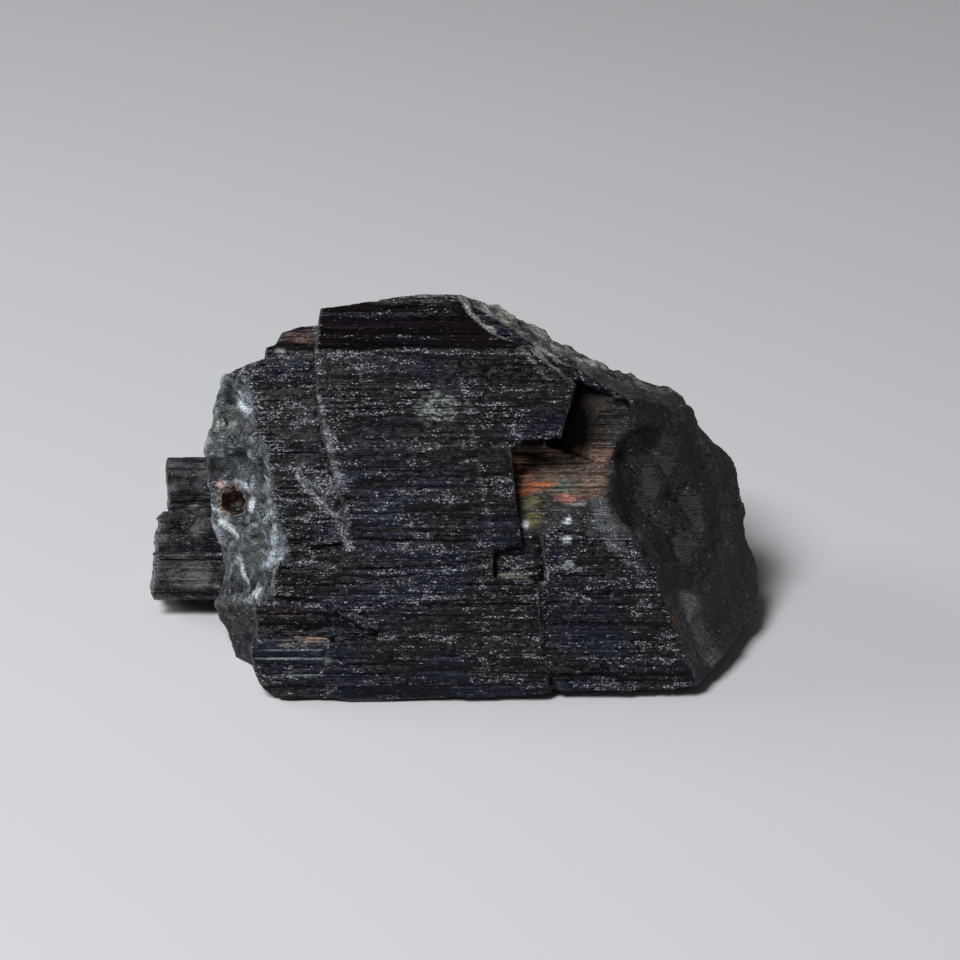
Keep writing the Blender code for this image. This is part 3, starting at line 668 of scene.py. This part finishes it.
    smooth = spot(points, (-21.5, 0.9, 9.0), (5.0, 3.0, 2.3)) * place.ribbed
    tone = mixed(tone, RED_BLACK * 2.0, smooth)
    lines = ramp(ridged(points, (40.0, 0.7, 0.7), 82), 0.2, 0.7)
    tone = mixed(tone, GREY * (3.3, 3.5, 3.5), lines * spot(points, (-21.0, 0.5, 4.4), (5.0, 3.0, 3.4)) * 0.9)
    finish = finish - 0.08 * smooth
    for path, width, colour in (
        (NOTCH_STREAK, 0.4, BUFF * 1.6),
        (WARM_STREAKS[0], 0.17, BUFF + ORANGE * 0.4),
        (WARM_STREAKS[1], 0.14, BUFF + ORANGE * 0.2),
        (PALE_STREAK, 0.2, BUFF * 1.2),
    ):
        tone = mixed(tone, colour, near_path(points, path, width) * ramp(grain, -0.6, -0.1) * place.above_ground)
    bruise = ramp(-reach(bent, PATCH_CENTRE, (2.8, 4.0, 2.3)), -1.0, -0.4) * place.front
    dents = noise(points, (0.7, 0.3, 0.3), 88)
    tone = mixed(tone, GREY_GREEN * 5.2, bruise * ramp(dents, -0.2, 0.35))
    # Painted shade: the colour goes near black in and beside the crack, where shade would fall
    tone = mixed(tone, BLACK * 0.3, near_path(points, CRACK, 0.7) * ramp(y, 0.5, 0.9))
    tone = mixed(tone, BLACK * 0.15, near_path(points, CRACK, 0.42) * place.front)
    for path, width, strength in (
        (SCALE_EDGE, 0.3, 0.9),
        (HIGH_SEAM, 0.28, 0.5),
        (LOW_SEAM, 0.34, 0.65),
        (GROWTH_LINE, 0.25, 0.22),
        (SHOULDER_LINE, 0.25, 0.4),
    ):
        line = near_path(points, path, width) * ramp(-y, -9.0, -7.0) * place.ribbed
        tone = mixed(tone, PALE * strength, line * ramp(grain, -0.5, 0.0))
    tone = mixed(tone, GREY * 0.9, spot(points, (-17.5, 0.0, 23.6), (2.2, 3.0, 3.2)) * ramp(grain, -0.2, 0.4))
    for centre in ((9.8, 0.0, 20.3), (9.7, 0.0, 17.9), (9.9, 0.0, 15.1)):
        tone = mixed(tone, PALE * 2.8, spot(bent, centre, (0.85, 3.0, 0.6)) * ramp(dents, -0.4, 0.2))

    # Painted shade: the colour is darkened in grooves and hollow places, where shade would fall
    sunk = np.maximum(ramp(-sharp, 0.006, 0.05), place.grooves)
    tone = tone * (1.0 - 0.8 * sunk)[:, None]
    return np.clip(tone, 0.0, 1.0), np.clip(finish, 0.14, 0.9)


def keep_values(mesh, name, values):
    """Keeps a number or a colour for each point of the mesh."""
    if values.ndim == 1:
        values = np.repeat(values[:, None], 3, axis=1)
    kept = mesh.color_attributes.new(name, "FLOAT_COLOR", "POINT")
    full = np.ones((len(values), 4), np.float32)
    full[:, :3] = values
    kept.data.foreach_set("color", full.ravel())


# Material


class Nodes:
    """Short calls that make and join the nodes of one material."""

    def __init__(self, material):
        material.use_nodes = True
        self.tree = material.node_tree
        self.shader = self.tree.nodes["Principled BSDF"]

    def add(self, kind, **settings):
        new = self.tree.nodes.new(kind)
        for key, value in settings.items():
            setattr(new, key, value)
        return new

    def feed(self, socket, value):
        if isinstance(value, bpy.types.NodeSocket):
            self.tree.links.new(value, socket)
        else:
            socket.default_value = value

    def maths(self, operation, *values, clamp=False):
        new = self.add("ShaderNodeMath", operation=operation, use_clamp=clamp)
        for socket, value in zip(new.inputs, values):
            self.feed(socket, value)
        return new.outputs[0]

    def vector(self, operation, first, second):
        new = self.add("ShaderNodeVectorMath", operation=operation)
        self.feed(new.inputs[0], first)
        if operation == "SCALE":
            self.feed(new.inputs["Scale"], second)
        else:
            self.feed(new.inputs[1], second)
        return new.outputs["Value" if operation == "DOT_PRODUCT" else "Vector"]

    def smooth_step(self, value, start, end):
        new = self.add("ShaderNodeMapRange", interpolation_type="SMOOTHSTEP")
        self.feed(new.inputs["Value"], value)
        self.feed(new.inputs["From Min"], start)
        self.feed(new.inputs["From Max"], end)
        return new.outputs[0]

    def attribute(self, name):
        return self.add("ShaderNodeAttribute", attribute_name=name)

    def stretched(self, vector, sizes):
        """Coordinates in which a feature of these sizes in mm is one unit large."""
        new = self.add("ShaderNodeMapping")
        self.feed(new.inputs["Vector"], vector)
        new.inputs["Scale"].default_value = tuple(1.0 / size for size in sizes)
        return new.outputs["Vector"]

    def noise(self, vector, sizes, detail=2.0):
        new = self.add("ShaderNodeTexNoise")
        self.feed(new.inputs["Vector"], self.stretched(vector, sizes))
        new.inputs["Scale"].default_value = 1.0
        new.inputs["Detail"].default_value = detail
        new.inputs["Roughness"].default_value = 0.6
        return new.outputs["Fac"]

    def facets(self, vector, sizes):
        """The height of small facets that each lean their own way, and two even random values for each."""
        coordinates = self.stretched(vector, sizes)
        cells = self.add("ShaderNodeTexVoronoi")
        self.feed(cells.inputs["Vector"], coordinates)
        cells.inputs["Scale"].default_value = 1.0
        lean = self.vector("SUBTRACT", cells.outputs["Color"], (0.5, 0.5, 0.5))
        offset = self.vector("SUBTRACT", coordinates, cells.outputs["Position"])
        parts = self.add("ShaderNodeSeparateColor")
        self.feed(parts.inputs[0], cells.outputs["Color"])
        return self.vector("DOT_PRODUCT", lean, offset), parts.outputs[0], parts.outputs[1]

    def blend(self, share, first, second):
        new = self.add("ShaderNodeMix", data_type="RGBA")
        self.feed(new.inputs["Factor"], share)
        self.feed(new.inputs["A"], first)
        self.feed(new.inputs["B"], second)
        return new.outputs["Result"]


def stone_material():
    """Reads each point's tone, finish and frost, and adds the threads and grains finer than the mesh; the grains are
    white specks, partly crushed grain and partly painted glints.
    """
    made = bpy.data.materials.new("schorl")
    nodes = Nodes(made)
    coordinates = nodes.add("ShaderNodeTexCoord")
    crystal = nodes.add("ShaderNodeMapping")
    crystal.inputs["Rotation"].default_value = (LEAN, 0.0, 0.0)
    crystal.inputs["Scale"].default_value = (1.0 / MM,) * 3
    nodes.feed(crystal.inputs["Vector"], coordinates.outputs["Object"])
    vector = crystal.outputs["Vector"]

    tone = nodes.attribute("tone").outputs["Color"]
    finish = nodes.attribute("finish").outputs["Fac"]
    frost_and_glints = nodes.attribute("frost_and_glints").outputs["Fac"]
    grit = nodes.attribute("grit").outputs["Fac"]
    ribbed = nodes.attribute("ribbed").outputs["Fac"]

    threads = nodes.noise(vector, (12.0, 0.17, 0.17), 3.0)
    dashes = nodes.noise(vector, (0.8, 0.35, 0.35), 3.0)
    facet_height, facet_tone, _ = nodes.facets(vector, (0.34, 0.19, 0.19))
    grain_height, grain_tone, chance = nodes.facets(vector, (0.17, 0.085, 0.085))

    # Painted shade: the colour is darkened between the fine threads, as the striations would shade, and it also varies
    # at random from facet to facet
    thread_shade_and_facet_tone = nodes.maths("MULTIPLY_ADD", threads, 4.7, -1.7)
    thread_shade_and_facet_tone = nodes.maths("MULTIPLY_ADD", facet_tone, 0.8, thread_shade_and_facet_tone)
    thread_shade_and_facet_tone = nodes.maths("MAXIMUM", thread_shade_and_facet_tone, 0.03)
    base = nodes.vector("SCALE", tone, thread_shade_and_facet_tone)
    dusty = nodes.maths("MULTIPLY_ADD", dashes, 0.5, nodes.maths("MULTIPLY", threads, 0.5))
    dusty = nodes.maths("MULTIPLY", nodes.smooth_step(dusty, 0.5, 0.62), nodes.maths("MULTIPLY_ADD", frost_and_glints, 1.2, 0.1))
    base = nodes.blend(nodes.maths("MULTIPLY", dusty, ribbed, clamp=True), base, (0.031, 0.033, 0.039, 1.0))
    # White specks: partly crushed grains, partly painted glints that stand in for sparkle
    crush_and_glint_chance = nodes.maths("ADD", frost_and_glints, -0.77)
    lined = nodes.maths("MULTIPLY", nodes.maths("ADD", threads, -0.5), ribbed)
    crush_and_glint_chance = nodes.maths("MULTIPLY_ADD", lined, 1.1, crush_and_glint_chance)
    crush_and_glint_chance = nodes.maths("MULTIPLY_ADD", dashes, 1.25, crush_and_glint_chance)
    grains_and_glints = nodes.smooth_step(nodes.maths("ADD", chance, crush_and_glint_chance), 0.98, 1.02)
    bright = nodes.maths("MULTIPLY", grain_tone, grain_tone)
    grain_and_glint_white = nodes.blend(bright, (0.045, 0.048, 0.056, 1.0), (0.58, 0.6, 0.66, 1.0))
    nodes.feed(nodes.shader.inputs["Base Color"], nodes.blend(grains_and_glints, base, grain_and_glint_white))

    uneven = nodes.maths("MULTIPLY_ADD", facet_tone, 0.24, -0.12)
    rough = nodes.maths("ADD", finish, uneven)
    nodes.feed(nodes.shader.inputs["Roughness"], nodes.maths("MULTIPLY_ADD", grains_and_glints, 0.2, rough, clamp=True))

    height = nodes.maths("MULTIPLY", threads, ribbed)
    height = nodes.maths("MULTIPLY_ADD", facet_height, grit, height)
    height = nodes.maths("MULTIPLY_ADD", nodes.maths("MULTIPLY", grain_height, grains_and_glints), 0.8, height)
    bump = nodes.add("ShaderNodeBump")
    bump.inputs["Strength"].default_value = 1.0
    bump.inputs["Distance"].default_value = 0.1 * MM
    nodes.feed(bump.inputs["Height"], height)
    nodes.feed(nodes.shader.inputs["Normal"], bump.outputs["Normal"])
    nodes.shader.inputs["IOR"].default_value = 1.28
    return made


# The stone

solid = solid_copy()
mesh, shape = fine_mesh(solid)
split_across_ribs(mesh)
mesh.update()
points = snapped(corners_of(mesh), shape)
place(mesh, points)
normals = normals_of(mesh)
places = Places(points, normals)
edge = ramp(sharpness(points, normals, edges_of(mesh), 2), 0.015, 0.05)
points = worked(points, normals, places, edge)
place(mesh, points)
sharp = sharpness(points, normals_of(mesh), edges_of(mesh))
tone, finish = toned(points, places, sharp)
keep_values(mesh, "tone", tone)
keep_values(mesh, "finish", finish)
keep_values(mesh, "frost_and_glints", frost_and_glint_share(points, places, sharp))
keep_values(mesh, "ribbed", places.ribbed * (1.0 - 0.7 * places.bevel))
keep_values(mesh, "grit", 0.7 - 0.5 * places.bevel - 0.4 * places.glassy)
triangles = sum(len(face.vertices) - 2 for face in mesh.polygons)
print("triangles:", triangles)
if triangles > MOST_TRIANGLES:
    raise ValueError("the stone has too many triangles")
mesh.transform(TO_WORLD)
mesh.shade_smooth()
mesh.set_sharp_from_angle(angle=math.radians(38.0))

stone = bpy.data.objects.new("tourmaline_crystal_stone", mesh)
bpy.context.scene.collection.objects.link(stone)
bpy.data.objects.remove(solid)
mesh.materials.clear()
mesh.materials.append(stone_material())
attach(stone, "root")
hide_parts(NODE)


# Stage: a plain pale floor, soft light from above and the left, and the camera

FLOOR_HALF = 3.0
floor_mesh = bpy.data.meshes.new("floor")
floor_bm = bmesh.new()
bmesh.ops.create_grid(floor_bm, x_segments=1, y_segments=1, size=FLOOR_HALF)
floor_bm.to_mesh(floor_mesh)
floor_bm.free()
floor = bpy.data.objects.new("floor", floor_mesh)
bpy.context.scene.collection.objects.link(floor)
floor_material = bpy.data.materials.new("pale_floor")
floor_material.use_nodes = True
floor_shader = floor_material.node_tree.nodes["Principled BSDF"]
floor_shader.inputs["Base Color"].default_value = (0.6, 0.61, 0.63, 1.0)
floor_shader.inputs["Roughness"].default_value = 0.95
floor_mesh.materials.append(floor_material)


def area_light(name, position, size, power):
    """A square soft light that looks at the stone. Position and size in metres."""
    light = bpy.data.lights.new(name, "AREA")
    light.size = size
    light.energy = power
    made = bpy.data.objects.new(name, light)
    made.location = position
    made.rotation_euler = (Vector((0.0, 0.0, 0.02)) - made.location).to_track_quat("-Z", "Y").to_euler()
    bpy.context.scene.collection.objects.link(made)


area_light("key", (-0.24, -0.3, 0.58), 0.26, 4.75)
area_light("side", (-0.75, 0.25, 0.4), 0.4, 2.2)

world = bpy.data.worlds.new("studio")
world.use_nodes = True
world.node_tree.nodes["Background"].inputs["Color"].default_value = (0.92, 0.95, 1.0, 1.0)
world.node_tree.nodes["Background"].inputs["Strength"].default_value = 0.07
bpy.context.scene.world = world
bpy.context.scene.view_settings.view_transform = "Standard"

CAMERA_AWAY = 320.0  # from the camera to the big face, in mm
VIEW_WIDTH = 107.5  # what the picture takes in there, in mm
AIM = (0.0, 0.0, 24.64)  # the point of the big face in the middle of the picture
camera_data = bpy.data.cameras.new("camera")
camera_data.lens = camera_data.sensor_width * CAMERA_AWAY / VIEW_WIDTH
camera_data.clip_start = 0.01
camera = bpy.data.objects.new("camera", camera_data)
camera.location = TO_WORLD @ (Vector(AIM) - Vector((0.0, CAMERA_AWAY, 0.0)))
camera.rotation_euler = (math.pi / 2 - LEAN, 0.0, 0.0)
bpy.context.scene.collection.objects.link(camera)
bpy.context.scene.camera = camera
